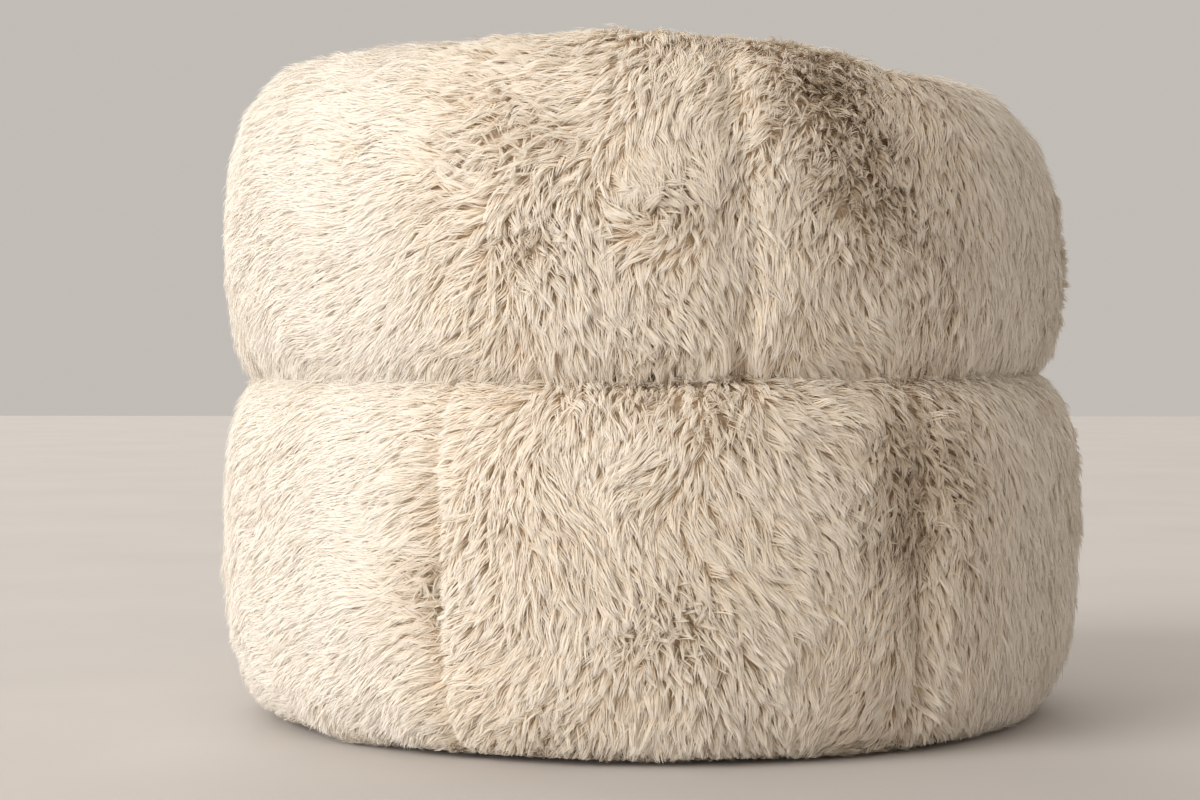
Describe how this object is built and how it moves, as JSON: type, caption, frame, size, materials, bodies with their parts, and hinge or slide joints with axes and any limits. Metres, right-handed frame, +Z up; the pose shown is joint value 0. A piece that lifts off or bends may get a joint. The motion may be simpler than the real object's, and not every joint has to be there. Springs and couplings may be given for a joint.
{
  "type": "bean bag chair",
  "caption": "Round tub-style bean bag chair: a puffy drum seat with a C-shaped bolster back and arms, covered in cream long-pile faux fur, with a zipped base.",
  "frame": {"origin": "floor level, at the middle of the round drum", "axes": "+Z up, the seat opens towards -Y, the middle of the back is on +Y, +X is to the sitter's left"},
  "size_m": [1.0446, 1.0446, 0.7971],
  "materials": {
    "fur": "matte",
    "base_cloth": "matte",
    "zip_tape": "matte",
    "zip_coil": "satin",
    "zip_metal": "satin",
    "liner_cloth": "matte",
    "fill": "matte",
    "divider_cloth": "matte",
    "label_satin": "satin"
  },
  "bodies": {
    "root": {"arm_front_fur_left": "fur", "arm_front_fur_right": "fur", "base_cloth_front": "base_cloth", "base_cloth_rear": "base_cloth", "base_zip_coil_front": "zip_coil", "base_zip_coil_rear": "zip_coil", "base_zip_stops": "zip_metal", "base_zip_tape_front": "zip_tape", "base_zip_tape_rear": "zip_tape", "bolster_fill": "fill", "bolster_liner": "liner_cloth", "care_label": "label_satin", "divider_cloth": "divider_cloth", "drum_bead_fill": "fill", "drum_fur_panel_1": "fur", "drum_fur_panel_2": "fur", "drum_fur_panel_3": "fur", "drum_fur_panel_4": "fur", "drum_fur_panel_5": "fur", "drum_fur_panel_6": "fur", "drum_liner": "liner_cloth", "inner_fur_panel_1": "fur", "inner_fur_panel_2": "fur", "inner_fur_panel_3": "fur", "inner_fur_panel_4": "fur", "liner_zip_coil_front": "zip_coil", "liner_zip_coil_rear": "zip_coil", "liner_zip_stops": "zip_metal", "liner_zip_tape_front": "zip_tape", "liner_zip_tape_rear": "zip_tape", "outer_fur_back_left": "fur", "outer_fur_back_right": "fur", "outer_fur_side_left": "fur", "outer_fur_side_right": "fur", "seat_fur_panel": "fur"},
    "zip_slider": {"base_zip_slider": "zip_metal"},
    "zip_pull": {"base_zip_pull": "zip_metal"},
    "liner_slider": {"liner_zip_slider": "zip_metal"}
  },
  "joints": [
    {"name": "base_zip_slide", "type": "slide", "parent": "root", "child": "zip_slider", "axis": [1, 0, 0], "range_m": [-0.606, 0]},
    {"name": "base_zip_pull_hinge", "type": "hinge", "parent": "zip_slider", "child": "zip_pull", "pos_m": [0.303, 0, 0.0094], "axis": [0, 1, 0], "range_deg": [0, 30]},
    {"name": "liner_zip_slide", "type": "slide", "parent": "root", "child": "liner_slider", "axis": [1, 0, 0], "range_m": [-0.366, 0]}
  ]
}
